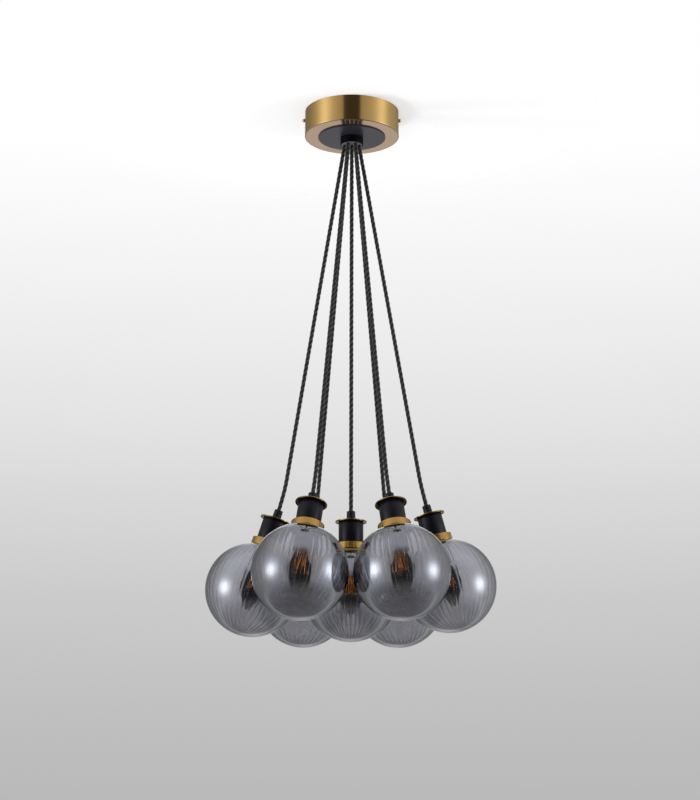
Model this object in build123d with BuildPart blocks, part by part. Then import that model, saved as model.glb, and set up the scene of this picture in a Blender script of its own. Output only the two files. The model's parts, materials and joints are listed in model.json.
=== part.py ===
"""Cluster pendant: seven globe lights on cords from one round ceiling canopy.

Millimetres. The origin is the centre of the ceiling plane, +Z points up into the
ceiling, and -Y is the front. Every drop has its own axis, and the heights in a drop
are measured up that axis from the centre of its globe.
"""

import os
from math import cos, pi, radians, sin, sqrt, tan

from build123d import *

# ---------------------------------------------------------------- canopy
canopy_radius = 78.5
canopy_height = 44.0
canopy_wall = 1.2
canopy_edge_radius = 1.5
cover_radius = 56.0
cover_thickness = 2.0
cover_edge = 0.6

# ---------------------------------------------------------------- ceiling bracket
strap_width = 20.0
strap_thickness = 1.5
ear_length = 22.0
ear_clearance = 0.3
ceiling_hole_spacing = 90.0
ceiling_hole_radius = 2.75

# ---------------------------------------------------------------- side screws
screw_drop = 14.0
screw_radius = 1.95
screw_hole_clearance = 0.25
cut_past_wall = 1.0
screw_thread_clearance = 0.1
screw_head_radius = 3.25
screw_head_stand_off = 0.9
screw_past_ear = 4.0

# ---------------------------------------------------------------- cord outlet
collar_radius = 19.0
collar_height = 12.5
collar_bore_wall = 1.5
stem_radius = 17.6
stem_wall = 1.6
stem_above_nut = 2.0
stem_hole_clearance = 0.3
bush_height = 8.0
bush_clearance = 0.1
nut_thickness = 5.0
nut_radius = 24.0
thread_clearance = 0.05

# ---------------------------------------------------------------- inside the canopy
clamp_thickness = 6.0
block_radius = 20.0
block_top = 12.0
block_thickness = 12.0
block_socket_depth = 4.0
post_radius = 4.0
stud_radius = 2.0
stud_depth = 5.0
stud_clearance = 0.1

# ---------------------------------------------------------------- cords
cord_radius = 3.0
outlet_circle = 12.0
outlet_clearance = 0.3
mouth_flare = 1.2
grip_clearance = 0.05
bend_above_gland = 26.0
arc_share = 0.45

# ---------------------------------------------------------------- globes
globe_radius = 75.0
globe_wall = 2.0
globe_spacing = 5.6
neck_radius = 23.5
neck_wall = 2.5
outer_hang = 805.3
centre_hang = 816.6
lean = 16.0

# ---------------------------------------------------------------- globe ring
ring_radius = 26.0
ring_height = 10.7
ring_web = 1.8
ring_bead = 0.5
ring_bead_height = 1.6
ring_fit = 0.3
ring_over_glass = 0.2

# ---------------------------------------------------------------- lampholder
sleeve_radius = 19.75
sleeve_length = 35.8
sleeve_wall = 1.2
sleeve_cap = 2.0
core_radius = 17.5
core_clearance = 0.15
core_bottom = 36.0
core_below_cord = 5.0
socket_depth = 25.0
socket_clearance = 0.4
shade_ring_height = 3.0
shade_ring_gap = 0.4

# ---------------------------------------------------------------- flange and gland
flange_radius = 25.0
flange_thickness = 1.2
flange_rim = 1.0
gland_radius = 7.0
gland_height = 16.0
gland_cap_radius = 6.3
gland_cap_height = 6.0
gland_groove = 0.8
gland_chamfer = 0.9
gland_stem_radius = 4.9
gland_stem_clearance = 0.3
gland_stem_past_nut = 2.0
locknut_radius = 8.5
locknut_thickness = 3.0
locknut_gap = 0.1
cord_past_stem = 1.5

# ---------------------------------------------------------------- bulb
bulb_radius = 17.5
bulb_length = 70.0
bulb_belly = 30.0
bulb_neck_radius = 9.5
bulb_tip_radius = 3.0
bulb_wall = 0.8
bulb_cement = 0.05
cap_radius = 7.0
cap_length = 22.0
contact_radius = 2.5
contact_height = 2.0
filament_stem = 14.0
filament_stem_radius = 2.2
filament_rod_radius = 0.6
filament_rod_circle = 5.0
filament_length = 34.0
filament_plate = 0.8

# ---------------------------------------------------------------- drops
left_hangs_lower = 3.7
right_hangs_higher = 3.3
left_leans_more = 1.6
right_leans_less = 0.6

# name: (degrees round from the front, hangs lower by, leans more by)
drops = {
    "centre": (0.0, 0.0, 0.0),
    "front_left": (-30.0, 0.0, 0.0),
    "front_right": (30.0, 0.0, 0.0),
    "left": (-90.0, left_hangs_lower, left_leans_more),
    "right": (90.0, -right_hangs_higher, -right_leans_less),
    "back_left": (-150.0, 0.0, 0.0),
    "back_right": (150.0, 0.0, 0.0),
}

# ---------------------------------------------------------------- worked out heights
cover_top = -canopy_height
collar_top = cover_top - cover_thickness
outlet_level = collar_top - collar_height
canopy_floor = cover_top + canopy_wall
nut_top = canopy_floor + nut_thickness
stem_top = nut_top + stem_above_nut
block_bottom = -block_top - block_thickness
cord_tail_bottom = outlet_level + cord_radius + outlet_clearance
cord_tail_top = block_bottom + block_socket_depth
stem_bore = stem_radius - stem_wall
collar_bore = collar_radius - collar_bore_wall

ring_bottom = sqrt(globe_radius**2 - (ring_radius + ring_bead) ** 2) + ring_over_glass
ring_top = ring_bottom + ring_height
web_bottom = ring_top - ring_web
sleeve_top = ring_top + sleeve_length
flange_top = sleeve_top + flange_thickness
gland_top = flange_top + gland_height
locknut_top = sleeve_top - sleeve_cap - locknut_gap
gland_stem_bottom = locknut_top - locknut_thickness - gland_stem_past_nut
cord_end = gland_stem_bottom - cord_past_stem
core_top = cord_end - core_below_cord
sleeve_bore = sleeve_radius - sleeve_wall
shade_ring_radius = neck_radius - neck_wall - shade_ring_gap
web_bore = core_radius + socket_clearance
globe_circle = 2 * globe_radius + globe_spacing

os.makedirs("parts", exist_ok=True)


def save(piece, name):
    """Labels a finished piece and writes its file."""
    piece.part.label = name
    export_step(piece.part, f"parts/{name}.step")


def outlets():
    """The seven places where cords pass through the outlet: one centre, six around."""
    return [(0.0, 0.0)] + [
        (outlet_circle * sin(radians(turn)), -outlet_circle * cos(radians(turn)))
        for turn, _, _ in list(drops.values())[1:]
    ]


# ================================================================ canopy pieces
ear_face = (
    sqrt((canopy_radius - canopy_wall) ** 2 - (strap_width / 2) ** 2) - ear_clearance
)

with BuildPart() as ceiling_bracket:
    with BuildSketch(Plane.XZ) as strap_section:
        with BuildLine():
            Polyline(
                (-ear_face, -ear_length),
                (-ear_face, 0),
                (ear_face, 0),
                (ear_face, -ear_length),
                (ear_face - strap_thickness, -ear_length),
                (ear_face - strap_thickness, -strap_thickness),
                (strap_thickness - ear_face, -strap_thickness),
                (strap_thickness - ear_face, -ear_length),
                close=True,
            )
        make_face()
    extrude(amount=strap_width / 2, both=True)
    with Locations((ceiling_hole_spacing / 2, 0, 0), (-ceiling_hole_spacing / 2, 0, 0)):
        Hole(ceiling_hole_radius, depth=strap_thickness)
    with Locations((0, 0, 0)):
        Hole(stud_radius + stud_clearance, depth=strap_thickness)
    with BuildSketch(Plane.YZ) as screw_bores:
        with Locations((0, -screw_drop)):
            Circle(screw_radius + screw_thread_clearance)
    extrude(amount=canopy_radius, both=True, mode=Mode.SUBTRACT)
save(ceiling_bracket, "ceiling_bracket")

with BuildPart() as canopy_cup:
    Cylinder(canopy_radius, canopy_height, align=(Align.CENTER, Align.CENTER, Align.MAX))
    fillet(canopy_cup.edges().filter_by(GeomType.CIRCLE).sort_by(Axis.Z)[0], canopy_edge_radius)
    with Locations((0, 0, canopy_floor)):
        Cylinder(
            canopy_radius - canopy_wall,
            canopy_height,
            align=(Align.CENTER, Align.CENTER, Align.MIN),
            mode=Mode.SUBTRACT,
        )
    with BuildSketch(Plane.XY.offset(cover_top)) as outlet_hole:
        Circle(stem_radius + stem_hole_clearance)
    extrude(amount=canopy_wall, mode=Mode.SUBTRACT)
    with BuildSketch(Plane.YZ) as screw_holes:
        with Locations((0, -screw_drop)):
            Circle(screw_radius + screw_hole_clearance)
    extrude(amount=canopy_radius + cut_past_wall, both=True, mode=Mode.SUBTRACT)
save(canopy_cup, "canopy_cup")

with BuildPart() as canopy_screws:
    with BuildSketch(Plane.XZ) as screw_profile:
        with BuildLine():
            head_middle = canopy_radius + screw_head_stand_off
            seat_radius = sqrt(screw_head_radius**2 - screw_head_stand_off**2)
            Polyline(
                (head_middle + screw_head_radius, -screw_drop),
                (ear_face - strap_thickness - screw_past_ear, -screw_drop),
                (ear_face - strap_thickness - screw_past_ear, screw_radius - screw_drop),
                (canopy_radius, screw_radius - screw_drop),
                (canopy_radius, seat_radius - screw_drop),
            )
            ThreePointArc(
                (canopy_radius, seat_radius - screw_drop),
                (head_middle, screw_head_radius - screw_drop),
                (head_middle + screw_head_radius, -screw_drop),
            )
        make_face()
    revolve(axis=Axis((0, 0, -screw_drop), (1, 0, 0)))
    mirror(about=Plane.YZ)
save(canopy_screws, "canopy_screws")

with BuildPart() as cover_disc:
    with BuildSketch(Plane.XY.offset(collar_top)) as cover_outline:
        Circle(cover_radius)
        Circle(stem_radius + stem_hole_clearance, mode=Mode.SUBTRACT)
    extrude(amount=cover_thickness)
    lower_rim = cover_disc.edges().filter_by(GeomType.CIRCLE).group_by(Axis.Z)[0]
    chamfer(lower_rim.sort_by(SortBy.RADIUS)[-1], cover_edge)
save(cover_disc, "cover_disc")

# ================================================================ cord outlet
with BuildPart() as outlet_collar:
    with BuildSketch(Plane.XZ) as collar_profile:
        with BuildLine():
            Polyline(
                (collar_bore, outlet_level),
                (collar_radius, outlet_level),
                (collar_radius, collar_top),
                (stem_radius, collar_top),
                (stem_radius, stem_top),
                (stem_bore, stem_top),
                (stem_bore, outlet_level + bush_height),
                (collar_bore, outlet_level + bush_height),
                close=True,
            )
        make_face()
    revolve(axis=Axis.Z)
save(outlet_collar, "outlet_collar")

with BuildPart() as cord_bush:
    with BuildSketch(Plane.XY.offset(outlet_level)) as bush_outline:
        Circle(collar_bore - bush_clearance)
        with Locations(*outlets()):
            Circle(cord_radius + outlet_clearance, mode=Mode.SUBTRACT)
    extrude(amount=bush_height)
    mouths = cord_bush.edges().filter_by(GeomType.CIRCLE).group_by(Axis.Z)[0]
    chamfer(mouths.sort_by(SortBy.RADIUS)[:-1], mouth_flare)
save(cord_bush, "cord_bush")

with BuildPart() as hub_nut:
    with BuildSketch(Plane.XY.offset(canopy_floor)) as nut_outline:
        RegularPolygon(nut_radius, 6)
        Circle(stem_radius + thread_clearance, mode=Mode.SUBTRACT)
    extrude(amount=nut_thickness)
save(hub_nut, "hub_nut")

with BuildPart() as cord_clamp:
    with BuildSketch(Plane.XY.offset(stem_top)) as clamp_outline:
        Circle(stem_radius)
        with Locations(*outlets()):
            Circle(cord_radius + grip_clearance, mode=Mode.SUBTRACT)
    extrude(amount=clamp_thickness)
save(cord_clamp, "cord_clamp")

with BuildPart() as cord_tails:
    with BuildSketch(Plane.XY.offset(cord_tail_bottom)) as tail_sections:
        with Locations(*outlets()):
            Circle(cord_radius)
    extrude(amount=cord_tail_top - cord_tail_bottom)
save(cord_tails, "cord_tails")

with BuildPart() as terminal_block:
    with BuildSketch(Plane.XY.offset(block_bottom)) as block_outline:
        Circle(block_radius)
    extrude(amount=block_thickness)
    with BuildSketch(Plane.XY.offset(block_bottom)) as block_sockets:
        with Locations(*outlets()):
            Circle(cord_radius + grip_clearance)
    extrude(amount=block_socket_depth, mode=Mode.SUBTRACT)
    with BuildSketch(Plane.XY.offset(-block_top)) as stud_socket:
        Circle(stud_radius + stud_clearance)
    extrude(amount=-stud_depth, mode=Mode.SUBTRACT)
save(terminal_block, "terminal_block")

with BuildPart() as block_post:
    with BuildSketch(Plane.XY.offset(-block_top)) as post_outline:
        RegularPolygon(post_radius, 6)
    extrude(amount=block_top - strap_thickness)
    with BuildSketch(Plane.XY) as stud_outline:
        Circle(stud_radius)
    extrude(amount=-(block_top + stud_depth))
save(block_post, "block_post")


# ================================================================ drops
class Drop:
    """One drop's place: its globe's centre, its leaning axis and its cord's route."""

    def __init__(self, name):
        turn, lower, leans_more = drops[name]
        centre = name == "centre"
        reach = 0.0 if centre else 1.0
        tilt = 0.0 if centre else radians(lean + leans_more)
        out = Vector(sin(radians(turn)), -cos(radians(turn)), 0)
        hang = (centre_hang if centre else outer_hang) + lower
        self.name = name
        self.middle = out * (reach * globe_circle) + Vector(0, 0, -hang)
        self.up = out * -sin(tilt) + Vector(0, 0, cos(tilt))
        side = out * cos(tilt) + Vector(0, 0, sin(tilt))
        self.profile = Plane(self.middle, x_dir=side, z_dir=side.cross(self.up))
        self.axis = Axis(self.middle, self.up)
        self.outlet = out * (reach * outlet_circle) + Vector(0, 0, outlet_level)
        self.bend = self.at(gland_top + bend_above_gland)
        self.straight = centre

    def at(self, height):
        """The point on the axis that far above the globe's centre."""
        return self.middle + self.up * height

    def level(self, height):
        """The plane across the axis at that height."""
        return Plane(self.at(height), x_dir=self.profile.x_dir, z_dir=self.up)


def make_cord(drop):
    """The hanging cord: one straight run, with one gentle arc into the gland."""
    end = drop.at(cord_end)
    with BuildPart() as cord:
        with BuildLine() as route:
            if drop.straight:
                Line(drop.outlet, end)
            else:
                turn = (drop.bend - drop.outlet).get_angle(end - drop.bend)
                arc_radius = arc_share * (end - drop.bend).length / tan(radians(turn) / 2)
                FilletPolyline(drop.outlet, drop.bend, end, radius=arc_radius)
                print(f"cord_{drop.name}: turns {turn:.2f} degrees on a radius of {arc_radius:.0f}")
        with BuildSketch(Plane(drop.outlet, z_dir=drop.bend - drop.outlet)):
            Circle(cord_radius)
        sweep(path=route.wires()[0])
        tube_volume = cord.part.volume
        with Locations(drop.outlet):
            Sphere(cord_radius)
    length = route.wires()[0].length
    share = tube_volume / (pi * cord_radius**2 * length)
    print(f"cord_{drop.name}: {length:.1f} long, {share:.4f} of its section times its length")
    save(cord, f"cord_{drop.name}")


def make_gland(drop):
    """The cord grip on the lampholder: body, clamping cap, hollow stem and locknut."""
    bore = cord_radius + grip_clearance
    cap_bottom = gland_top - gland_cap_height
    with BuildPart() as gland:
        with BuildSketch(drop.profile):
            with BuildLine():
                Polyline(
                    (bore, gland_stem_bottom),
                    (gland_stem_radius, gland_stem_bottom),
                    (gland_stem_radius, flange_top),
                    (gland_radius, flange_top),
                    (gland_radius, cap_bottom - gland_groove),
                    (gland_cap_radius - gland_groove, cap_bottom - gland_groove),
                    (gland_cap_radius - gland_groove, cap_bottom),
                    (gland_cap_radius, cap_bottom),
                    (gland_cap_radius, gland_top - gland_chamfer),
                    (gland_cap_radius - gland_chamfer, gland_top),
                    (bore, gland_top),
                    close=True,
                )
            make_face()
        revolve(axis=drop.axis)
        with BuildSketch(drop.level(locknut_top)):
            RegularPolygon(locknut_radius, 6)
            Circle(gland_stem_radius + thread_clearance, mode=Mode.SUBTRACT)
        extrude(amount=-locknut_thickness)
    save(gland, f"gland_{drop.name}")


def make_flange(drop):
    """The thin disc under the gland, with its rim turned down."""
    with BuildPart() as flange:
        with BuildSketch(drop.profile):
            with BuildLine():
                Polyline(
                    (gland_stem_radius + gland_stem_clearance, sleeve_top),
                    (flange_radius - flange_thickness, sleeve_top),
                    (flange_radius - flange_thickness, sleeve_top - flange_rim),
                    (flange_radius, sleeve_top - flange_rim),
                    (flange_radius, flange_top),
                    (gland_stem_radius + gland_stem_clearance, flange_top),
                    close=True,
                )
            make_face()
        revolve(axis=drop.axis)
    save(flange, f"flange_{drop.name}")


def make_lampholder(drop):
    """The capped outer sleeve, the socket core inside it and the shade ring below."""
    stem_bore_radius = gland_stem_radius + gland_stem_clearance
    socket_radius = cap_radius + socket_clearance
    with BuildPart() as lampholder:
        with BuildSketch(drop.profile):
            with BuildLine():
                Polyline(
                    (sleeve_radius, ring_top),
                    (sleeve_radius, sleeve_top),
                    (stem_bore_radius, sleeve_top),
                    (stem_bore_radius, sleeve_top - sleeve_cap),
                    (sleeve_bore, sleeve_top - sleeve_cap),
                    (sleeve_bore, ring_top),
                    close=True,
                )
            make_face()
        revolve(axis=drop.axis)
        with BuildSketch(drop.profile):
            with BuildLine():
                Polyline(
                    (0, core_bottom + socket_depth),
                    (socket_radius, core_bottom + socket_depth),
                    (socket_radius, core_bottom),
                    (core_radius, core_bottom),
                    (core_radius, ring_top),
                    (sleeve_bore - core_clearance, ring_top),
                    (sleeve_bore - core_clearance, core_top),
                    (0, core_top),
                    close=True,
                )
            make_face()
        revolve(axis=drop.axis)
        with BuildSketch(drop.level(web_bottom)):
            Circle(shade_ring_radius)
            Circle(core_radius + thread_clearance, mode=Mode.SUBTRACT)
        extrude(amount=-shade_ring_height)
    save(lampholder, f"lampholder_{drop.name}")


def make_ring(drop):
    """The brass ring that carries the globe's neck, with a bead at its lower edge."""
    bead_radius = ring_radius + ring_bead
    bore = neck_radius + ring_fit
    seat = sqrt(globe_radius**2 - bore**2) + ring_over_glass
    with BuildPart() as ring:
        with BuildSketch(drop.profile):
            with BuildLine():
                Polyline(
                    (bead_radius, ring_bottom),
                    (bead_radius, ring_bottom + ring_bead_height),
                    (ring_radius, ring_bottom + ring_bead_height),
                    (ring_radius, ring_top),
                    (web_bore, ring_top),
                    (web_bore, web_bottom),
                    (bore, web_bottom),
                    (bore, seat),
                    close=True,
                )
            make_face()
        revolve(axis=drop.axis)
    save(ring, f"ring_{drop.name}")


def make_globe(drop):
    """The blown glass globe: a thin sphere with a short neck inside the ring."""
    inner_radius = globe_radius - globe_wall
    neck_bore = neck_radius - neck_wall
    neck_foot = sqrt(globe_radius**2 - neck_radius**2)
    bore_foot = sqrt(inner_radius**2 - neck_bore**2)
    with BuildPart() as globe:
        with BuildSketch(drop.profile):
            with BuildLine():
                ThreePointArc((0, -globe_radius), (globe_radius, 0), (neck_radius, neck_foot))
                Polyline(
                    (neck_radius, neck_foot),
                    (neck_radius, web_bottom),
                    (neck_bore, web_bottom),
                    (neck_bore, bore_foot),
                )
                ThreePointArc((neck_bore, bore_foot), (inner_radius, 0), (0, -inner_radius))
                Line((0, -inner_radius), (0, -globe_radius))
            make_face()
        revolve(axis=drop.axis)
    save(globe, f"globe_{drop.name}")


def candle_outline(shrink):
    """Half of the bulb's outline: two arcs that meet upright at the belly, and a tip."""
    top = core_bottom - shrink
    belly = core_bottom - bulb_belly
    tip = core_bottom - bulb_length + shrink
    widest = bulb_radius - shrink
    neck = bulb_neck_radius - shrink
    tip_radius = bulb_tip_radius - shrink
    shoulder = tip + tip_radius
    upper_radius = ((top - belly) ** 2 + (widest - neck) ** 2) / (2 * (widest - neck))
    lower_drop = belly - shoulder
    lower_radius = (lower_drop**2 + (widest - tip_radius) ** 2) / (2 * (widest - tip_radius))
    RadiusArc((neck, top), (widest, belly), upper_radius)
    RadiusArc((widest, belly), (tip_radius, shoulder), lower_radius)
    RadiusArc((tip_radius, shoulder), (0, tip), tip_radius)
    Polyline((0, tip), (0, top), (neck, top))


def make_bulb(drop):
    """The candle bulb: glass envelope, screw cap with its contact, and filaments."""
    with BuildPart() as bulb:
        with BuildSketch(drop.profile):
            with BuildLine():
                candle_outline(0)
            make_face()
        revolve(axis=drop.axis)
        with BuildSketch(drop.profile):
            with BuildLine():
                candle_outline(bulb_wall)
            make_face()
        revolve(axis=drop.axis, mode=Mode.SUBTRACT)
        with BuildSketch(drop.level(core_bottom + bulb_cement)):
            Circle(cap_radius)
        extrude(amount=cap_length - bulb_cement)
        with BuildSketch(drop.level(core_bottom + cap_length)):
            Circle(contact_radius)
        extrude(amount=contact_height)
        stem_foot = core_bottom - bulb_wall - bulb_cement
        with BuildSketch(drop.level(stem_foot)):
            Circle(filament_stem_radius)
        extrude(amount=-filament_stem)
        for plate_top in (0, filament_length - filament_plate):
            with BuildSketch(drop.level(stem_foot - filament_stem - plate_top)):
                Circle(filament_rod_circle + 2 * filament_rod_radius)
            extrude(amount=-filament_plate)
        with BuildSketch(drop.level(stem_foot - filament_stem)):
            with PolarLocations(filament_rod_circle, 4):
                Circle(filament_rod_radius)
        extrude(amount=-filament_length)
    save(bulb, f"bulb_{drop.name}")


for drop in [Drop(name) for name in drops]:
    make_cord(drop)
    make_gland(drop)
    make_flange(drop)
    make_lampholder(drop)
    make_ring(drop)
    make_globe(drop)
    make_bulb(drop)
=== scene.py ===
"""Cluster pendant: seven smoked globes on twisted cords under a brass canopy.

Metres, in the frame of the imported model: the ceiling is z = 0 and -Y is the front.
A drop's pieces are modelled upright round +Z, with the globe's centre at the
origin, then copied and put on each drop's leaning axis.
"""

import json
import math

import bmesh
import bpy
import numpy as np
from mathutils import Matrix, Vector

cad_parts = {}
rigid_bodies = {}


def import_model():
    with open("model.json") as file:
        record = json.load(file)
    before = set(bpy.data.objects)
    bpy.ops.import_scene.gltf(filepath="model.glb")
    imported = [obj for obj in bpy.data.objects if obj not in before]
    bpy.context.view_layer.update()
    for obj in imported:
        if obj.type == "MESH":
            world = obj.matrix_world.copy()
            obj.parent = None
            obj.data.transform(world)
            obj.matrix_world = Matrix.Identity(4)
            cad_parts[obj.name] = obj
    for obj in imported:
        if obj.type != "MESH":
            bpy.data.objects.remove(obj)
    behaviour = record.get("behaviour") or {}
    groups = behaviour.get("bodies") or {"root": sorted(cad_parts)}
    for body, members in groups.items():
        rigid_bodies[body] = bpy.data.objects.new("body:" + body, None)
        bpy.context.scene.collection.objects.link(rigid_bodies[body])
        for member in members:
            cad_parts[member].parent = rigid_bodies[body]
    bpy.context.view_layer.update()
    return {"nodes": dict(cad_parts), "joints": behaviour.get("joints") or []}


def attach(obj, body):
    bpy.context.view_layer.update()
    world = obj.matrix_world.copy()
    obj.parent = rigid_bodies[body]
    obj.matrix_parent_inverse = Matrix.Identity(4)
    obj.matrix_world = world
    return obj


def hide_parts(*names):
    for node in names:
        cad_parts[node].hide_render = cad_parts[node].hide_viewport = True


MM = 0.001
same_place = 1e-6

# ---------------------------------------------------------------- sizes, as built
globe_radius = 75.0 * MM
globe_wall = 2.0 * MM
neck_radius = 23.5 * MM
neck_wall = 2.5 * MM
ring_radius = 26.0 * MM
ring_bead = 0.5 * MM
ring_bead_height = 1.6 * MM
ring_height = 10.7 * MM
ring_web = 1.8 * MM
ring_over_glass = 0.2 * MM
ring_fit = 0.3 * MM
web_fit = 0.4 * MM
sleeve_radius = 19.75 * MM
sleeve_length = 35.8 * MM
sleeve_wall = 1.2 * MM
sleeve_cap = 2.0 * MM
stem_hole_radius = 5.2 * MM
core_radius = 17.5 * MM
core_bottom = 36.0 * MM
core_top = 103.0 * MM
core_chamfer = 1.5 * MM
core_fit = 0.15 * MM
socket_depth = 25.0 * MM
socket_fit = 0.4 * MM
shade_ring_radius = 20.6 * MM
shade_ring_height = 3.0 * MM
flange_radius = 25.0 * MM
flange_thickness = 1.2 * MM
flange_rim = 1.0 * MM
gland_radius = 7.0 * MM
gland_height = 16.0 * MM
gland_cap_radius = 6.8 * MM
gland_cap_height = 6.0 * MM
gland_cap_chamfer = 0.5 * MM
gland_waist = 0.8 * MM
gland_stem = 8.3 * MM
gland_stem_radius = 4.9 * MM
cord_radius = 3.0 * MM
cord_fit = 0.05 * MM
cord_in_holder = 26.0 * MM
bend_above_gland = 26.0 * MM
bulb_radius = 17.5 * MM
bulb_length = 70.0 * MM
bulb_belly = 30.0 * MM
bulb_neck_radius = 9.5 * MM
bulb_tip_radius = 3.0 * MM
bulb_wall = 0.8 * MM
bulb_arc_steps = 14
bulb_tip_steps = 4
cap_radius = 7.0 * MM
cap_length = 22.0 * MM
cap_shoulder = 2.0 * MM
cap_clearance = 0.1 * MM
contact_radius = 2.5 * MM
contact_height = 2.0 * MM
thread_turns = 5
thread_start = 4.0 * MM
thread_pitch = 3.0 * MM
thread_depth = 0.7 * MM
filaments = 4
filament_radius = 0.5 * MM
filament_top_circle = 4.8 * MM
filament_foot_circle = 9.5 * MM
filament_lean = 0.5
filament_top = core_bottom - 3.0 * MM
filament_foot = core_bottom - 36.0 * MM
lead_radius = 0.25 * MM
lead_end_height = filament_foot - 4.0 * MM
support_end_height = filament_top + 1.0 * MM
outlet_level = -58.5 * MM
canopy_bottom = -44.0 * MM

ring_bottom = math.sqrt(globe_radius**2 - (ring_radius + ring_bead) ** 2) + ring_over_glass
ring_top = ring_bottom + ring_height
web_bottom = ring_top - ring_web
sleeve_top = ring_top + sleeve_length
flange_top = sleeve_top + flange_thickness
gland_top = flange_top + gland_height
flange_edge = sleeve_top - 0.5 * MM

# ---------------------------------------------------------------- looks
glass_ribs = 40
steps_per_rib = 10
rib_depth = 0.36 * MM
rib_sharpness = 9
rib_gather = 0.6
rib_full_from_axis = 0.25 * globe_radius
rib_end = 67.0 * MM
rib_fade = 20.0 * MM
film_outside = 0.27
film_inside = 0.06
smoke_tint = (0.10, 0.06, 0.0, 1)
strands = 3
strand_turn = 28.0 * MM
strand_radius = 2.42 * MM
strand_orbit = 1.03 * MM
strand_step = 1.4 * MM
strand_sides = 8
route_resolution = 1024
pinch_share = 0.82
pinch_length = 15.0 * MM
yarn_per_metre = 300
yarn_round_strand = 2.4
yarn_between_strands = 9.0
# where on each strand's round the painted highlight of its crest begins
painted_highlight_from = 1.5
brush_unit = 10.0 * MM
painted_underside_from = 0.9 * MM
painted_underside_full = 0.4 * MM
floor_level = -2.5
gap_widening = 0.042

camera_place = (0, -3.481, -1.4277)
camera_pitch = 14.95
camera_roll = -0.126
camera_lens = 100.2
lamp_aim = (0, 0, -0.6)

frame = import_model()
nodes = frame["nodes"]
joints = {j["name"]: j for j in frame["joints"]}
drop_names = sorted(name[len("turn_"):] for name in joints if name.startswith("turn_"))


# ================================================================ materials
def node_maker(tree):
    """A short way to add a node: its inputs by name, as values or other nodes' sockets."""

    def add(kind, inputs=None, **settings):
        node = tree.nodes.new(kind)
        for key, value in settings.items():
            setattr(node, key, value)
        for key, value in (inputs or {}).items():
            if isinstance(value, bpy.types.NodeSocket):
                tree.links.new(value, node.inputs[key])
            else:
                node.inputs[key].default_value = value
        return node

    return add


def new_material(name):
    """An empty node material, with its add, its surface output and its links."""
    material = bpy.data.materials.new(name)
    material.use_nodes = True
    material.node_tree.nodes.clear()
    add = node_maker(material.node_tree)
    return material, add, add("ShaderNodeOutputMaterial").inputs[0], material.node_tree.links


def pattern_place(add, attribute):
    """Where a pattern reads its place: the object, or the piece's own stored place."""
    if attribute:
        return add("ShaderNodeAttribute", attribute_name=attribute).outputs["Vector"]
    return add("ShaderNodeTexCoord").outputs["Object"]


def colour_mix(add, share, first, second):
    """A colour between two others."""
    mix = add("ShaderNodeMix", {"Factor": share}, data_type="RGBA")
    for key, value in ((6, first), (7, second)):
        if isinstance(value, bpy.types.NodeSocket):
            mix.id_data.links.new(value, mix.inputs[key])
        else:
            mix.inputs[key].default_value = value
    return mix.outputs[2]


def maths(add, operation, first, second=0.0):
    """One step of arithmetic."""
    return add("ShaderNodeMath", {0: first, 1: second}, operation=operation).outputs[0]


def noise(add, place, scale, detail):
    """A cloudy pattern, as a value."""
    inputs = {"Vector": place, "Scale": scale, "Detail": detail}
    return add("ShaderNodeTexNoise", inputs).outputs["Fac"]


def spread(add, share, low, high):
    """A share from 0 to 1, spread from low to high."""
    return add("ShaderNodeMapRange", {"Value": share, "To Min": low, "To Max": high}).outputs[0]


def rise_between(add, value, start, end):
    """How far a value has come from start to end, from 0 to 1."""
    inputs = {"Value": value, "From Min": start, "From Max": end}
    return add("ShaderNodeMapRange", inputs).outputs[0]


def bump(add, height, strength, distance):
    """The normal of a surface that a pattern roughens."""
    inputs = {"Height": height, "Strength": strength, "Distance": distance}
    return add("ShaderNodeBump", inputs).outputs[0]


def scaled(tone, share):
    """A colour made darker or lighter."""
    return tuple(min(1.0, c * share) for c in tone[:3]) + (1.0,)


def brass(
    name, tone, attribute=None, roughness=0.3, lines=(40, 40, 2400), painted_underside=None, edge=canopy_bottom
):
    """Brushed brass: fine lines round the piece, a slow change of tone, a soft shine,
    and just below its lower edge, where a bottom tone is given, that painted tone:
    painted shade on the flange, a paler painted reflection on the canopy."""
    material, add, surface, links = new_material(name)
    place = pattern_place(add, attribute)
    stretched = add("ShaderNodeMapping", {"Vector": place, "Scale": lines})
    fine = noise(add, stretched.outputs[0], 1.0, 4.0)
    slow = noise(add, place, 22.0, 3.0)
    colour = colour_mix(add, slow, scaled(tone, 0.88), scaled(tone, 1.04))
    # Just below the lower edge the colour turns to the given bottom tone, which is painted: painted
    # shade on the flange, a paler painted reflection on the canopy.
    if painted_underside is not None:
        height = add("ShaderNodeSeparateXYZ", {"Vector": place}).outputs["Z"]
        below = rise_between(add, height, edge + painted_underside_from, edge + painted_underside_full)
        colour = colour_mix(add, below, colour, painted_underside)
    shader = add(
        "ShaderNodeBsdfPrincipled",
        {
            "Base Color": colour,
            "Metallic": 1.0,
            "Roughness": spread(add, fine, roughness * 0.8, roughness * 1.2),
            "Normal": bump(add, fine, 0.02, 0.2 * MM),
        },
    )
    shader.inputs["Anisotropic"].default_value = 0.75
    shader.inputs["Anisotropic Rotation"].default_value = 0.25  # a quarter turn
    if attribute is None:
        brushed = add("ShaderNodeTangent", direction_type="RADIAL", axis="Z").outputs[0]
    else:
        brushed = add("ShaderNodeAttribute", attribute_name="brushed_way").outputs["Vector"]
    links.new(brushed, shader.inputs["Tangent"])
    links.new(shader.outputs[0], surface)
    return material


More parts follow.
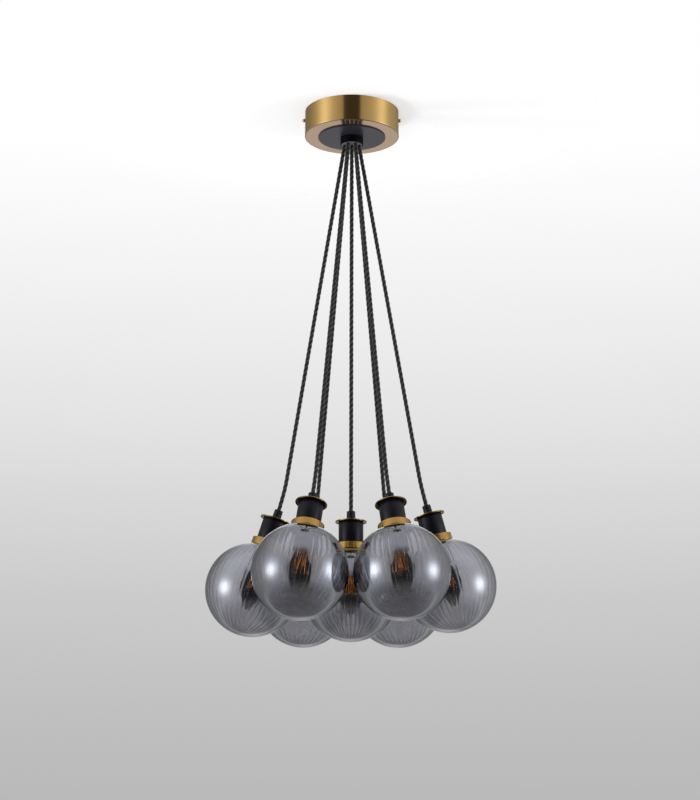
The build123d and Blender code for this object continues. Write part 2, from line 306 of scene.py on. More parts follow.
def satin(name, tone, attribute=None, roughness=0.4, grain=900.0, metallic=0.0, shine=0.5):
    """Powder coat, plastic or plated steel: an even tone with a fine grain in its shine."""
    material, add, surface, links = new_material(name)
    place = pattern_place(add, attribute)
    fine = noise(add, place, grain, 3.0)
    slow = noise(add, place, 30.0, 2.0)
    shader = add(
        "ShaderNodeBsdfPrincipled",
        {
            "Base Color": colour_mix(add, slow, tone, scaled(tone, 1.25)),
            "Metallic": metallic,
            "Specular IOR Level": shine,
            "Roughness": spread(add, fine, roughness * 0.85, roughness * 1.2),
            "Normal": bump(add, fine, 0.08, 0.1 * MM),
        },
    )
    links.new(shader.outputs[0], surface)
    return material


def cord_cloth():
    """Twisted black textile: each strand painted lighter along its outer crest, a painted highlight
    broken up by a yarn noise, and darker elsewhere, painted shade towards the grooves.
    """
    material, add, surface, links = new_material("cord_cloth")
    along = add("ShaderNodeAttribute", attribute_name="strand_place").outputs["Vector"]
    yarn = noise(add, along, 1.0, 2.0)
    outwards = add("ShaderNodeSeparateXYZ", {"Vector": along}).outputs["Y"]
    # The share of each strand's outer crest that gets the painted highlight, broken up by the yarn
    # noise; the rest gets painted shade.
    crest = rise_between(add, outwards, painted_highlight_from, yarn_round_strand)
    crest = maths(add, "MULTIPLY", crest, maths(add, "ADD", yarn, 0.5))
    # the painted shade towards the grooves and the painted highlight on the crests
    groove_painted_shade = (0.003, 0.003, 0.004, 1)
    crest_painted_highlight = (0.065, 0.064, 0.062, 1)
    shader = add(
        "ShaderNodeBsdfPrincipled",
        {
            "Base Color": colour_mix(add, crest, groove_painted_shade, crest_painted_highlight),
            "Roughness": 0.6,
            "Sheen Weight": 0.2,
            "Sheen Roughness": 0.4,
            "Normal": bump(add, yarn, 0.35, 0.2 * MM),
        },
    )
    links.new(shader.outputs[0], surface)
    return material


def smoked_glass(name, tint, through_for_lamps, film=0.0, smoke=0.0):
    """Smoked glass. The film is the share of it that mirrors as thin metal does; where
    none is given, the piece stores its own at its points. The smoke is how fast light
    fades along its way inside the wall."""
    material, add, surface, links = new_material(name)
    place = pattern_place(add, None)
    colour = colour_mix(add, noise(add, place, 14.0, 2.0), scaled(tint, 0.97), scaled(tint, 1.03))
    glass = add(
        "ShaderNodeBsdfPrincipled",
        {
            "Base Color": colour,
            "Metallic": film,
            "Roughness": 0.0,
            "IOR": 1.45,
            "Transmission Weight": 1.0,
        },
    )
    if not film:
        share = add("ShaderNodeAttribute", attribute_name="film_share").outputs["Fac"]
        links.new(share, glass.inputs["Metallic"])
    clear = add("ShaderNodeBsdfTransparent", {"Color": through_for_lamps})
    shadow = add("ShaderNodeLightPath").outputs["Is Shadow Ray"]
    shader = add("ShaderNodeMixShader", {"Fac": shadow, 1: glass.outputs[0], 2: clear.outputs[0]})
    links.new(shader.outputs[0], surface)
    if smoke:
        inside = add("ShaderNodeVolumeAbsorption", {"Color": smoke_tint, "Density": smoke})
        links.new(inside.outputs[0], surface.node.inputs["Volume"])
    return material


def amber_glow():
    """A filament: amber coating that glows a little."""
    material, add, surface, links = new_material("amber_filament")
    place = pattern_place(add, None)
    grain = noise(add, place, 700.0, 2.0)
    deep_amber = (0.90, 0.30, 0.02, 1)
    light_amber = (1.0, 0.44, 0.06, 1)
    colour = colour_mix(add, grain, deep_amber, light_amber)
    shader = add(
        "ShaderNodeBsdfPrincipled",
        {"Base Color": colour, "Roughness": 0.5, "Emission Color": colour, "Emission Strength": 9.0},
    )
    links.new(shader.outputs[0], surface)
    return material


def dress(obj, *materials):
    """Gives an object these materials in place of any it has."""
    obj.data.materials.clear()
    for material in materials:
        obj.data.materials.append(material)


# ================================================================ modelling
def start_clean():
    """Leaves edit mode, with nothing selected."""
    if bpy.context.object and bpy.context.object.mode != "OBJECT":
        bpy.ops.object.mode_set(mode="OBJECT")
    bpy.ops.object.select_all(action="DESELECT")


def lathe(name, profile, sides):
    """Turns a shape: a circle at the profile's start, extruded and resized to each of
    its other points (radius, height). A point on the axis closes the shape there."""
    start_clean()
    (first_radius, first_height), rest = profile[0], profile[1:]
    closed_start = first_radius == 0
    if closed_start:
        (first_radius, first_height), rest = rest[0], rest[1:]
    bpy.ops.mesh.primitive_circle_add(
        vertices=sides, radius=first_radius, location=(0, 0, first_height), fill_type="NOTHING"
    )
    piece = bpy.context.object
    piece.name = piece.data.name = name
    bpy.ops.object.transform_apply(location=True)
    bpy.ops.object.mode_set(mode="EDIT")
    bpy.ops.mesh.select_all(action="SELECT")
    radius, height = first_radius, first_height
    for next_radius, next_height in rest:
        bpy.ops.mesh.extrude_region_move(
            TRANSFORM_OT_translate={"value": (0, 0, next_height - height)}
        )
        if next_radius == 0:
            bpy.ops.mesh.merge(type="CENTER")
            break
        share = next_radius / radius
        bpy.ops.transform.resize(value=(share, share, 1), center_override=(0, 0, 0))
        radius, height = next_radius, next_height
    bpy.ops.object.mode_set(mode="OBJECT")
    if closed_start:
        close_pole(piece, first_radius, first_height, profile[0][1])
    return piece


def close_pole(piece, radius, height, pole):
    """Closes the ring at that height with a fan to a point on the axis."""
    bpy.ops.object.mode_set(mode="EDIT")
    bpy.ops.mesh.select_mode(type="VERT")
    bpy.ops.mesh.select_all(action="DESELECT")
    shape = bmesh.from_edit_mesh(piece.data)
    for vertex in shape.verts:
        off_ring = max(abs(vertex.co.xy.length - radius), abs(vertex.co.z - height))
        vertex.select_set(off_ring < same_place)
    shape.select_flush_mode()
    bmesh.update_edit_mesh(piece.data)
    bpy.ops.mesh.extrude_region_move(TRANSFORM_OT_translate={"value": (0, 0, pole - height)})
    bpy.ops.mesh.merge(type="CENTER")
    bpy.ops.object.mode_set(mode="OBJECT")


def finish_shape(piece, bevel=0.0, smooth_angle=35.0):
    """Makes the faces point outwards, rounds sharp edges and smooths the shading."""
    bpy.ops.object.mode_set(mode="EDIT")
    bpy.ops.mesh.select_all(action="SELECT")
    bpy.ops.mesh.remove_doubles(threshold=same_place)
    bpy.ops.mesh.normals_make_consistent(inside=False)
    bpy.ops.object.mode_set(mode="OBJECT")
    if bevel:
        rounding = piece.modifiers.new("edge", "BEVEL")
        rounding.width = bevel
        rounding.segments = 2
        rounding.limit_method = "ANGLE"
        rounding.angle_limit = math.radians(40)
        bpy.ops.object.modifier_apply(modifier="edge")
    bpy.ops.object.shade_smooth_by_angle(angle=math.radians(smooth_angle))
    return piece


def flip_faces():
    """Turns the faces of the piece in hand the other way round."""
    bpy.ops.object.mode_set(mode="EDIT")
    bpy.ops.mesh.select_all(action="SELECT")
    bpy.ops.mesh.flip_normals()
    bpy.ops.object.mode_set(mode="OBJECT")


def join(name, *pieces):
    """Several finished shapes as one piece, each with its own material."""
    start_clean()
    for piece in pieces:
        piece.select_set(True)
    bpy.context.view_layer.objects.active = pieces[0]
    bpy.ops.object.join()
    pieces[0].name = pieces[0].data.name = name
    return pieces[0]


def rod(name, start, end, radius, material):
    """A thin round rod between two points, with the edges of its ends rounded."""
    start_clean()
    bpy.ops.mesh.primitive_cylinder_add(vertices=12, radius=radius, depth=(end - start).length)
    piece = bpy.context.object
    piece.name = piece.data.name = name
    turn = (end - start).to_track_quat("Z", "Y").to_matrix().to_4x4()
    piece.data.transform(Matrix.Translation((start + end) / 2) @ turn)
    finish_shape(piece, bevel=0.3 * radius)
    dress(piece, material)
    return piece


def ring_points(low, high, radius, count):
    """Points up a sphere's outline from one height to another, evenly by angle."""
    a, b = (math.asin(max(-1.0, min(1.0, h / radius))) for h in (low, high))
    angles = [a + (b - a) * i / count for i in range(count + 1)]
    return [(radius * math.cos(t), radius * math.sin(t)) for t in angles]


def places(mesh):
    """Where a mesh's points are."""
    found = np.zeros(len(mesh.vertices) * 3)
    mesh.vertices.foreach_get("co", found)
    return found.reshape(-1, 3)


def store_vectors(mesh, name, vectors):
    """Keeps a vector for each point of a mesh, for its material to read."""
    stored = mesh.attributes.new(name, "FLOAT_VECTOR", "POINT")
    stored.data.foreach_set("vector", np.asarray(vectors, np.float32).ravel())


def on_circle(radius, turn, height):
    """A point on a circle round the axis."""
    return Vector((radius * math.cos(turn), radius * math.sin(turn), height))


# ---------------------------------------------------------------- the drop's pieces
def on_inner_face(place):
    """Which points of the globe lie on its inner face, below the neck."""
    return np.linalg.norm(place, axis=1) < globe_radius - 0.5 * globe_wall


def model_globe():
    """The ribbed globe: smooth outside, optic ribs inside, a short neck on top. Its
    points lie closer to each other at the ribs, which fade towards both ends."""
    inner_radius = globe_radius - globe_wall
    neck_bore = neck_radius - neck_wall
    outside_top = math.sqrt(globe_radius**2 - neck_radius**2)
    inside_top = math.sqrt(inner_radius**2 - neck_bore**2)
    outside = ring_points(-globe_radius, outside_top, globe_radius, count=44)
    inside = ring_points(-inner_radius, inside_top, inner_radius, count=40)
    profile = [(0, -globe_radius)] + outside[1:]
    profile += [(neck_radius, web_bottom), (neck_bore, web_bottom)]
    profile += inside[:0:-1] + [(0, -inner_radius)]
    globe = lathe("globe", profile, sides=glass_ribs * steps_per_rib)

    place = places(globe.data)
    across = np.hypot(place[:, 0], place[:, 1])
    turn = np.arctan2(place[:, 1], place[:, 0])
    turn -= rib_gather * np.sin(glass_ribs * turn) / glass_ribs
    place[:, 0], place[:, 1] = across * np.cos(turn), across * np.sin(turn)
    fade_below = np.clip(across / rib_full_from_axis, 0, 1)
    fade_above = np.clip((rib_end - place[:, 2]) / rib_fade, 0, 1)
    ridge = (0.5 + 0.5 * np.cos(glass_ribs * turn)) ** rib_sharpness
    rise = rib_depth * fade_below * fade_above * ridge / np.linalg.norm(place, axis=1)
    share = np.where(on_inner_face(place), 1 - rise, 1.0)
    globe.data.vertices.foreach_set("co", (place * share[:, None]).ravel())
    globe.data.update()
    finish_shape(globe, smooth_angle=60.0)

    film = np.where(on_inner_face(places(globe.data)), film_inside, film_outside)
    stored = globe.data.attributes.new("film_share", "FLOAT", "POINT")
    stored.data.foreach_set("value", film.astype(np.float32))
    dress(globe, smoked_film)
    return globe


def model_ring():
    """The brass ring with a bead at its foot."""
    bore = neck_radius + ring_fit
    seat = math.sqrt(globe_radius**2 - bore**2) + ring_over_glass
    bead = ring_radius + ring_bead
    web_bore = core_radius + web_fit
    profile = [
        (bore, seat),
        (bead, ring_bottom),
        (bead, ring_bottom + ring_bead_height),
        (ring_radius, ring_bottom + ring_bead_height),
        (ring_radius, ring_top),
        (web_bore, ring_top),
        (web_bore, web_bottom),
        (bore, web_bottom),
        (bore, seat),
    ]
    ring = finish_shape(lathe("ring", profile, sides=96), bevel=0.3 * MM)
    dress(ring, brass_trim)
    return ring


def model_flange():
    """The thin disc with its turned-down rim."""
    inner_rim = flange_radius - flange_thickness
    profile = [
        (stem_hole_radius, sleeve_top),
        (inner_rim, sleeve_top),
        (inner_rim, sleeve_top - flange_rim),
        (flange_radius, sleeve_top - flange_rim),
        (flange_radius, flange_top),
        (stem_hole_radius, flange_top),
        (stem_hole_radius, sleeve_top),
    ]
    flange = finish_shape(lathe("flange", profile, sides=96), bevel=0.45 * MM)
    dress(flange, brass_flange)
    return flange


def model_lampholder():
    """The black sleeve, and the grey socket core with its shade ring, which hangs down
    into the globe."""
    bore = sleeve_radius - sleeve_wall
    sleeve = lathe(
        "sleeve",
        [
            (bore, ring_top),
            (sleeve_radius, ring_top),
            (sleeve_radius, sleeve_top),
            (stem_hole_radius, sleeve_top),
            (stem_hole_radius, sleeve_top - sleeve_cap),
            (bore, sleeve_top - sleeve_cap),
            (bore, ring_top),
        ],
        sides=96,
    )
    finish_shape(sleeve, bevel=0.4 * MM)
    dress(sleeve, black_coat)
    socket_radius = cap_radius + socket_fit
    socket_top = core_bottom + socket_depth
    shade_ring_bottom = web_bottom - shade_ring_height
    upper_radius = bore - core_fit
    core = lathe(
        "core",
        [
            (0, socket_top),
            (socket_radius, socket_top),
            (socket_radius, core_bottom),
            (core_radius - core_chamfer, core_bottom),
            (core_radius, core_bottom + core_chamfer),
            (core_radius, shade_ring_bottom),
            (shade_ring_radius, shade_ring_bottom),
            (shade_ring_radius, web_bottom),
            (core_radius, web_bottom),
            (core_radius, ring_top),
            (upper_radius, ring_top),
            (upper_radius, core_top),
            (0, core_top),
        ],
        sides=64,
    )
    finish_shape(core, bevel=0.3 * MM)
    dress(core, socket_grey)
    return join("lampholder", sleeve, core)


def model_gland():
    """The cord grip: body, waist, clamping cap, and its hollow stem down into the
    sleeve. The locknut inside the sleeve, which nothing shows, is left out."""
    bore = cord_radius + cord_fit
    stem_foot = flange_top - gland_stem
    cap_bottom = gland_top - gland_cap_height
    waist_bottom = cap_bottom - gland_waist
    waist_radius = gland_cap_radius - gland_waist
    grip = lathe(
        "gland",
        [
            (bore, stem_foot),
            (gland_stem_radius, stem_foot),
            (gland_stem_radius, flange_top),
            (gland_radius, flange_top),
            (gland_radius, waist_bottom),
            (waist_radius, waist_bottom),
            (waist_radius, cap_bottom),
            (gland_cap_radius, cap_bottom),
            (gland_cap_radius, gland_top - gland_cap_chamfer),
            (gland_cap_radius - gland_cap_chamfer, gland_top),
            (bore, gland_top),
            (bore, stem_foot),
        ],
        sides=64,
    )
    finish_shape(grip, bevel=0.2 * MM)
    dress(grip, black_plastic)
    return grip


def candle_profile(shrink):
    """Half of the bulb's outline, from its tip up to its neck, in two upright arcs."""
    top = core_bottom - shrink
    belly = core_bottom - bulb_belly
    tip = core_bottom - bulb_length + shrink
    widest = bulb_radius - shrink
    neck = bulb_neck_radius - shrink
    tip_radius = bulb_tip_radius - shrink
    shoulder = tip + tip_radius

    def arc(rise, narrow):
        """From the widest point up to a narrower one: (radius, height above the belly)."""
        radius = (rise**2 + (widest - narrow) ** 2) / (2 * (widest - narrow))
        whole = math.asin(rise / radius)
        angles = [whole * i / bulb_arc_steps for i in range(bulb_arc_steps + 1)]
        return [(widest - radius + radius * math.cos(t), radius * math.sin(t)) for t in angles]

    round_tip = [math.pi / 2 * i / bulb_tip_steps for i in range(bulb_tip_steps)]
    points = [(tip_radius * math.sin(t), shoulder - tip_radius * math.cos(t)) for t in round_tip]
    points += [(r, belly - h) for r, h in reversed(arc(belly - shoulder, tip_radius))]
    points += [(r, belly + h) for r, h in arc(top - belly, neck)[1:]]
    return points


def model_screw_cap():
    """The bulb's screw cap: grooves for its thread, a shoulder, the contact on top."""
    foot = core_bottom + cap_clearance
    profile = [(0, foot), (cap_radius, foot)]
    for turn in range(thread_turns):
        crest = core_bottom + thread_start + thread_pitch * turn
        profile += [(cap_radius, crest), (cap_radius - thread_depth, crest + thread_pitch / 2)]
    top = core_bottom + cap_length
    profile += [(cap_radius - cap_shoulder / 2, top - cap_shoulder), (contact_radius, top)]
    profile += [(contact_radius, top + contact_height), (0, top + contact_height)]
    cap = finish_shape(lathe("bulb_cap", profile, sides=48))
    dress(cap, plated_steel)
    return cap


def model_bulb():
    """The candle bulb: thin glass, screw cap, glass stem and leaning filaments."""
    envelope = lathe("bulb", candle_profile(0.0) + [(0, core_bottom)], sides=48)
    finish_shape(envelope)
    dress(envelope, bulb_glass)
    inner_profile = candle_profile(bulb_wall) + [(0, core_bottom - bulb_wall)]
    hollow = lathe("bulb_hollow", inner_profile, sides=48)
    finish_shape(hollow)
    flip_faces()
    dress(hollow, bulb_glass)
    cap = model_screw_cap()
    stem_top = core_bottom - bulb_wall - cap_clearance
    stem_shape = ((0, 0), (2.8, 0), (1.8, 3), (1.2, 4), (0, 4.5))  # radius and way down, in mm
    stem_profile = [(r * MM, stem_top - down * MM) for r, down in stem_shape]
    stem = lathe("bulb_stem", stem_profile, sides=24)
    finish_shape(stem)
    dress(stem, bulb_glass)
    pieces = [envelope, hollow, cap, stem]
    support_end = Vector((0, 0, support_end_height))
    lead_end = Vector((0, 0, lead_end_height))
    for k in range(filaments):
        turn = (k + 0.5) * 2 * math.pi / filaments
        top = on_circle(filament_top_circle, turn, filament_top)
        foot = on_circle(filament_foot_circle, turn + filament_lean, filament_foot)
        pieces.append(rod(f"filament_{k}", top, foot, filament_radius, amber))
        pieces.append(rod(f"lead_{k}", foot, lead_end, lead_radius, plated_steel))
        pieces.append(rod(f"support_{k}", top, support_end, lead_radius, plated_steel))
    return join("bulb", *pieces)


# ================================================================ the drops
class Drop:
    """One drop's place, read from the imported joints."""

    def __init__(self, name):
        turn = joints[f"turn_{name}"]
        self.name = name
        self.light = turn["child"]
        self.hanger = turn["parent"]
        self.lamp = joints[f"unscrew_{name}"]["child"]
        self.up = Vector(turn["axis"]).normalized()
        self.middle = Vector(turn["pos_m"]) - self.up * flange_top
        swing = joints.get(f"swing_{name}")
        self.leans = swing is not None
        self.outlet = Vector(swing["pos_m"]) if self.leans else Vector((0, 0, outlet_level))
        out = Vector((self.middle.x, self.middle.y, 0))
        side = out.normalized() if self.leans else Vector((1, 0, 0))
        across = self.up.cross(side).normalized()
        side = across.cross(self.up)
        axes = Matrix((side, across, self.up)).transposed().to_4x4()
        self.place = Matrix.Translation(self.middle) @ axes

    def at(self, height):
        """The point of the drop's axis that lies so high above the globe's centre."""
        return self.middle + self.up * height


def put(model, drop, kind, body):
    """Puts a copy of a modelled piece on this drop's axis, in place of its CAD node."""
    piece = bpy.data.objects.new(f"{kind}_{drop.name}_look", model.data.copy())
    bpy.context.scene.collection.objects.link(piece)
    piece.data.transform(drop.place)
    from_middle = places(piece.data) - np.array(drop.middle)
    brushed_way = np.cross(np.array(drop.up), from_middle) / brush_unit
    store_vectors(piece.data, "brushed_way", brushed_way)
    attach(piece, body)
    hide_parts(f"{kind}_{drop.name}")


def route_line(drop):
    """The points of the cord's smooth line, a NURBS on its route, and the way to each."""
    end = drop.at(gland_top - cord_in_holder)
    bend = drop.at(gland_top + bend_above_gland)
    points = [drop.outlet, bend, end]
    if drop.leans:
        near_bend = bend + (drop.outlet - bend).normalized() * (end - bend).length
        points.insert(1, near_bend)
    line = bpy.data.curves.new(f"route_{drop.name}", "CURVE")
    line.dimensions = "3D"
    line.resolution_u = route_resolution
    spline = line.splines.new("NURBS")
    spline.points.add(len(points) - 1)
    for point, place in zip(spline.points, points):
        point.co = (*place, 1.0)
    spline.order_u = 3
    spline.use_endpoint_u = True
    holder = bpy.data.objects.new(f"route_{drop.name}", line)
    bpy.context.scene.collection.objects.link(holder)
    bpy.context.view_layer.update()
    mesh = bpy.data.meshes.new_from_object(holder)
    found = np.array([list(vertex.co) for vertex in mesh.vertices])
    bpy.data.meshes.remove(mesh)
    bpy.data.objects.remove(holder)
    way = np.concatenate([[0], np.cumsum(np.linalg.norm(np.diff(found, axis=0), axis=1))])
    kept = np.searchsorted(way, np.arange(0, way[-1] - 0.5 * strand_step, strand_step))
    kept = np.unique(np.append(kept, len(found) - 1))
    return found[kept], way[kept]


def model_cord(drop):
    """Three textile strands twisted round the cord's line, pinched by the bush on top."""
    line, way = route_line(drop)
    heading = np.gradient(line, axis=0)
    heading /= np.linalg.norm(heading, axis=1)[:, None]
    side = np.cross(heading, (0.0, 1.0, 0.0))
    side /= np.linalg.norm(side, axis=1)[:, None]
    across = np.cross(heading, side)
    thickness = np.interp(way, (pinch_length / 3, pinch_length), (pinch_share, 1.0))
    shape = bmesh.new()
    stored = shape.verts.layers.float_vector.new("strand_place")
    for strand in range(strands):
        phase = 2 * math.pi * (way / strand_turn + strand / strands)
        out = np.cos(phase)[:, None] * side + np.sin(phase)[:, None] * across
        round_it = -np.sin(phase)[:, None] * side + np.cos(phase)[:, None] * across
        rings = []
        for i in range(len(line)):
            ring = []
            for k in range(strand_sides):
                a = 2 * math.pi * k / strand_sides
                reach = thickness[i] * (strand_orbit + strand_radius * math.cos(a))
                sideways = thickness[i] * strand_radius * math.sin(a)
                vertex = shape.verts.new(line[i] + reach * out[i] + sideways * round_it[i])
                vertex[stored] = (
                    yarn_per_metre * way[i],
                    yarn_round_strand * math.cos(a),
                    yarn_round_strand * math.sin(a) + yarn_between_strands * strand,
                )
                ring.append(vertex)
            rings.append(ring)
        for low, high in zip(rings, rings[1:]):
            for k in range(strand_sides):
                n = (k + 1) % strand_sides
                shape.faces.new((low[k], low[n], high[n], high[k]))
        shape.faces.new(rings[0][::-1])
        shape.faces.new(rings[-1])
    for face in shape.faces:
        face.smooth = True
    bmesh.ops.recalc_face_normals(shape, faces=shape.faces)
    mesh = bpy.data.meshes.new(f"cord_{drop.name}_look")
    shape.to_mesh(mesh)
    shape.free()
    cord = bpy.data.objects.new(mesh.name, mesh)
    bpy.context.scene.collection.objects.link(cord)
    dress(cord, cord_textile)
    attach(cord, drop.hanger)
    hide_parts(f"cord_{drop.name}")


# ================================================================ camera, light, room
def add_camera():
    """The photograph's viewpoint: below the light, looking up at it."""
    camera = bpy.data.cameras.new("camera")
    camera.lens = camera_lens
    camera.clip_end = 50
    holder = bpy.data.objects.new("camera", camera)
    bpy.context.scene.collection.objects.link(holder)
    holder.location = camera_place
    holder.rotation_euler = (math.radians(90 + camera_pitch), math.radians(camera_roll), 0)
    bpy.context.scene.camera = holder


def add_lamp(name, place, size, power):
    """A soft lamp. What metal and glass show of the studio's lamps is in the room."""
    light = bpy.data.lights.new(name, "AREA")
    light.shape = "RECTANGLE"
    light.size, light.size_y = size
    light.energy = power
    holder = bpy.data.objects.new(name, light)
    bpy.context.scene.collection.objects.link(holder)
    holder.location = place
    heading = Vector(lamp_aim) - Vector(place)
    holder.rotation_euler = heading.to_track_quat("-Z", "Y").to_euler()
    holder.visible_camera = holder.visible_glossy = holder.visible_transmission = False


def ramp(add, value, stops):
    """A grey ramp: (value, brightness) pairs over values from 0 to 1."""
    node = add("ShaderNodeValToRGB", {"Fac": value})
    elements = node.color_ramp.elements
    while len(elements) < len(stops):
        elements.new(0.5)
    for element, (position, grey) in zip(elements, stops):
        element.position = position
    for element, (position, grey) in zip(elements, stops):
        element.color = (grey, grey, grey, 1)
    return node.outputs[0]


def soft_patch(add, azimuth, rise, centre, widths, strength):
    """A soft oval in the room: degrees round from the front, degrees up."""
    total = None
    for angle, middle, width in zip((azimuth, rise), centre, widths):
        away = maths(add, "SUBTRACT", angle, math.radians(middle))
        away = maths(add, "DIVIDE", away, math.radians(width))
        away = maths(add, "MULTIPLY", away, away)
        total = away if total is None else maths(add, "ADD", total, away)
    fall = maths(add, "MULTIPLY", total, -0.5)
    return maths(add, "MULTIPLY", maths(add, "EXPONENT", fall), strength)


def studio_room():
    """The room. Seen straight, and through glass, it is a pale backdrop that whitens
    upwards. Mirrored, it is a studio with that backdrop behind, a soft lamp on each
    side, a pale ceiling, a dim floor, and in front the dark gap between the lamps,
    wider below."""
    world = bpy.data.worlds.new("room")
    world.use_nodes = True
    world.cycles.sampling_method = "NONE"
    tree = world.node_tree
    tree.nodes.clear()
    add = node_maker(tree)
    way = add("ShaderNodeSeparateXYZ", {0: add("ShaderNodeTexCoord").outputs["Generated"]})
    x, y, z = way.outputs
    path = add("ShaderNodeLightPath").outputs

    backdrop_by_height = (
        (0.0, 0.60),
        (0.35, 0.56),
        (0.5, 0.48),
        (0.5415, 0.485),
        (0.5635, 0.533),
        (0.585, 0.597),
        (0.6075, 0.693),
        (0.6202, 0.757),
        (0.6825, 1.0),
    )
    height = maths(add, "MULTIPLY", maths(add, "ADD", z, 1.0), 0.5)
    backdrop = ramp(add, height, backdrop_by_height)

    walls_from_front = (
        (0.0, 0.03),
        (0.106, 0.03),
        (0.122, 0.39),
        (0.28, 0.43),
        (0.50, 0.39),
        (0.64, 0.32),
        (0.80, 0.21),
    )
    azimuth = maths(add, "ARCTAN2", x, maths(add, "MULTIPLY", y, -1.0))
    away = maths(add, "ABSOLUTE", azimuth)
    rise = maths(add, "ARCSINE", z)
    wider = maths(add, "MULTIPLY", rise_between(add, z, 0.30, 0.10), gap_widening)
    turned = maths(add, "SUBTRACT", maths(add, "DIVIDE", away, math.pi), wider)
    walls = ramp(add, turned, walls_from_front)
    walls = colour_mix(add, rise_between(add, turned, 0.88, 0.96), walls, backdrop)
    dim_floor = (0.13, 0.125, 0.115, 1)
    pale_ceiling = (0.58, 0.58, 0.61, 1)
    mirrored = colour_mix(add, rise_between(add, z, -0.42, -0.75), walls, dim_floor)
    mirrored = colour_mix(add, rise_between(add, z, 0.55, 0.85), mirrored, pale_ceiling)

    # each row: where it is and how wide, in degrees round and up, and its strength
    low_behind = ((180, -28), (50, 4), 0.32)
    studio_lamps = (
        ((-70, 1), (10.5, 9.5), 3.1),
        ((78, 1), (10.5, 9.5), 2.95),
        ((-70, 20), (22, 30), 0.33),
        ((77, 20), (22, 30), 0.31),
        ((130, 5), (18, 35), 0.16),
    )
    shine = soft_patch(add, away, rise, *low_behind)
    for centre, widths, strength in studio_lamps:
        patch = soft_patch(add, azimuth, rise, centre, widths, strength)
        shine = maths(add, "ADD", shine, patch)
    cool_white = (0.89, 0.93, 1.0, 1)
    mirrored_light = add("ShaderNodeBackground", {"Color": mirrored})
    lamps_light = add("ShaderNodeBackground", {"Color": cool_white, "Strength": shine})
    studio = add("ShaderNodeAddShader", {0: mirrored_light.outputs[0], 1: lamps_light.outputs[0]})

    fill_grey = (0.55, 0.55, 0.57, 1)
    straight = add("ShaderNodeBackground", {"Color": backdrop})
    in_mirror = maths(add, "GREATER_THAN", path["Glossy Depth"], 0.5)
    seen = add("ShaderNodeMixShader", {0: in_mirror, 1: straight.outputs[0], 2: studio.outputs[0]})
    lit = add("ShaderNodeBackground", {"Color": fill_grey})
    seen_share = maths(add, "MAXIMUM", path["Is Camera Ray"], path["Is Glossy Ray"])
    seen_share = maths(add, "MAXIMUM", seen_share, path["Is Transmission Ray"])
    whole = add("ShaderNodeMixShader", {0: seen_share, 1: lit.outputs[0], 2: seen.outputs[0]})
    tree.links.new(whole.outputs[0], add("ShaderNodeOutputWorld").inputs[0])
    bpy.context.scene.world = world


def room_disc(name, radius, level, facing_down, tone, lift, fade):
    """A round patch of ceiling or floor that fades out between two distances from the
    middle, shows nothing from its back, and is lifted a little for the camera."""
    material, add, surface, links = new_material(f"{name}_paint")
    place = pattern_place(add, None)
    flat = add("ShaderNodeVectorMath", {0: place, 1: (1, 1, 0)}, operation="MULTIPLY").outputs[0]
    distance = add("ShaderNodeVectorMath", {0: flat}, operation="LENGTH").outputs["Value"]
    gone = add(
        "ShaderNodeMapRange",
        {"Value": distance, "From Min": fade[0], "From Max": fade[1]},
        interpolation_type="SMOOTHERSTEP",
    )
    back = add("ShaderNodeNewGeometry").outputs["Backfacing"]
    gone = maths(add, "MAXIMUM", gone.outputs[0], back)
    grain = noise(add, place, 300.0, 2.0)
    paint = add("ShaderNodeBsdfDiffuse", {"Color": spread(add, grain, tone - 0.01, tone + 0.01)})
    camera = add("ShaderNodeLightPath").outputs["Is Camera Ray"]
    glow = add("ShaderNodeEmission", {"Strength": maths(add, "MULTIPLY", camera, lift)})
    both = add("ShaderNodeAddShader", {0: paint.outputs[0], 1: glow.outputs[0]})
    clear = add("ShaderNodeBsdfTransparent")
    mix = add("ShaderNodeMixShader", {"Fac": gone, 1: both.outputs[0], 2: clear.outputs[0]})
    links.new(mix.outputs[0], surface)
    start_clean()
    bpy.ops.mesh.primitive_circle_add(
        vertices=96, radius=radius, fill_type="NGON", location=(0, 0, level)
    )
    bpy.ops.object.transform_apply(location=True)
    disc = bpy.context.object
    disc.name = disc.data.name = name
    if facing_down:
        flip_faces()
    dress(disc, material)
    disc.visible_glossy = False


# ================================================================ build
black_coat = satin(
    "black_powder_coat", (0.004, 0.004, 0.008, 1), "upright_place", roughness=0.36, shine=0.3
)
socket_grey = satin("socket_grey", (0.25, 0.25, 0.26, 1), "upright_place", roughness=0.5)
black_plastic = satin(
    "black_grip_plastic", (0.007, 0.007, 0.010, 1), "upright_place", roughness=0.42, shine=0.35
)
brass_trim = brass("brass_trim", (0.64, 0.38, 0.105, 1), "upright_place", roughness=0.21)
# The flange's bottom face, below its rim edge, is painted dark brown: painted shade.
brass_flange = brass(
    "brass_flange",
    (0.62, 0.37, 0.10, 1),
    "upright_place",
    roughness=0.22,
    painted_underside=(0.24, 0.135, 0.045, 1),
    edge=flange_edge,
)
# The canopy's bottom face is painted a paler, rosier brass: painted reflection.
brass_canopy = brass(
    "brass_canopy", (0.75, 0.48, 0.17, 1), roughness=0.20, painted_underside=(0.68, 0.48, 0.32, 1)
)
brass_screw = brass("brass_screw", (0.74, 0.48, 0.17, 1), roughness=0.25, lines=(900, 900, 900))
disc_black = satin("disc_black", (0.022, 0.022, 0.033, 1), roughness=0.34, shine=0.7)
# A darker, less shiny copy of the cover disc's black: painted shade on the outlet collar.
collar_black = satin("collar_black", (0.002, 0.002, 0.003, 1), roughness=0.45, shine=0.12)
# The pale nylon of the cord bush, clamp and terminal block, painted much darker: painted shade in the
# collar's opening round the cords.
nylon_in_painted_shade = satin("outlet_pale_nylon", (0.19, 0.185, 0.235, 1), roughness=0.5)
plated_steel = satin("plated_steel", (0.55, 0.55, 0.55, 1), roughness=0.3, metallic=1.0)
cord_textile = cord_cloth()
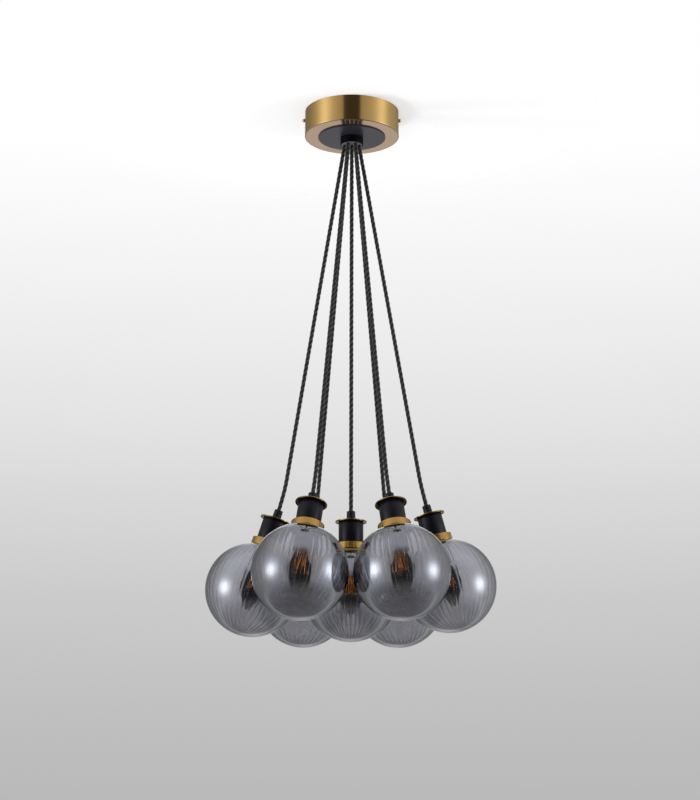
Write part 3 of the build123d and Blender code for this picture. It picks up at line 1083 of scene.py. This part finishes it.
smoked_film = smoked_glass(
    "smoked_film_glass", (0.87, 0.885, 0.95, 1), (0.85, 0.85, 0.87, 1), smoke=122.0
)
bulb_glass = smoked_glass(
    "bulb_glass", (0.105, 0.095, 0.08, 1), (0.75, 0.72, 0.70, 1), film=0.04
)
amber = amber_glow()

add_camera()
drops = [Drop(name) for name in drop_names]
for drop in drops:
    model_cord(drop)

kinds = (
    ("gland", model_gland, "hanger", "black_plastic"),
    ("flange", model_flange, "light", "trim_brass"),
    ("lampholder", model_lampholder, "light", "black_plastic"),
    ("ring", model_ring, "light", "trim_brass"),
    ("globe", model_globe, "light", "smoked_glass"),
    ("bulb", model_bulb, "lamp", "bulb_glass"),
)
for kind, make, body, slot in kinds:
    model = make()
    store_vectors(model.data, "upright_place", places(model.data))
    for drop in drops:
        put(model, drop, kind, getattr(drop, body))
    bpy.data.objects.remove(model)

for name, material in {
    "canopy_cup": brass_canopy,
    "canopy_screws": brass_screw,
    "cover_disc": disc_black,
    "outlet_collar": collar_black,
    "cord_bush": nylon_in_painted_shade,
    "cord_clamp": nylon_in_painted_shade,
    "terminal_block": nylon_in_painted_shade,
    "cord_tails": disc_black,
    "ceiling_bracket": plated_steel,
    "hub_nut": plated_steel,
    "block_post": plated_steel,
}.items():
    dress(nodes[name], material)

studio_room()
room_disc(
    "ceiling",
    radius=0.75,
    level=0.5 * MM,
    facing_down=True,
    tone=0.85,
    lift=0.335,
    fade=(0.16, 0.56),
)
room_disc(
    "floor",
    radius=3.2,
    level=floor_level,
    facing_down=False,
    tone=0.80,
    lift=0.10,
    fade=(1.6, 3.0),
)
add_lamp("lamp_left", (-1.3, 0.0, -1.95), size=(0.6, 0.6), power=13.5)
add_lamp("lamp_right", (2.4, -0.6, -0.75), size=(0.9, 1.3), power=18)
add_lamp("lamp_front", (-0.9, -2.4, -1.5), size=(0.9, 0.9), power=8)

scene = bpy.context.scene
scene.view_settings.view_transform = "Standard"
scene.cycles.max_bounces = 24
scene.cycles.transmission_bounces = 24
scene.cycles.glossy_bounces = 1  # what the globes mirror of each other stays dark
scene.cycles.transparent_max_bounces = 24
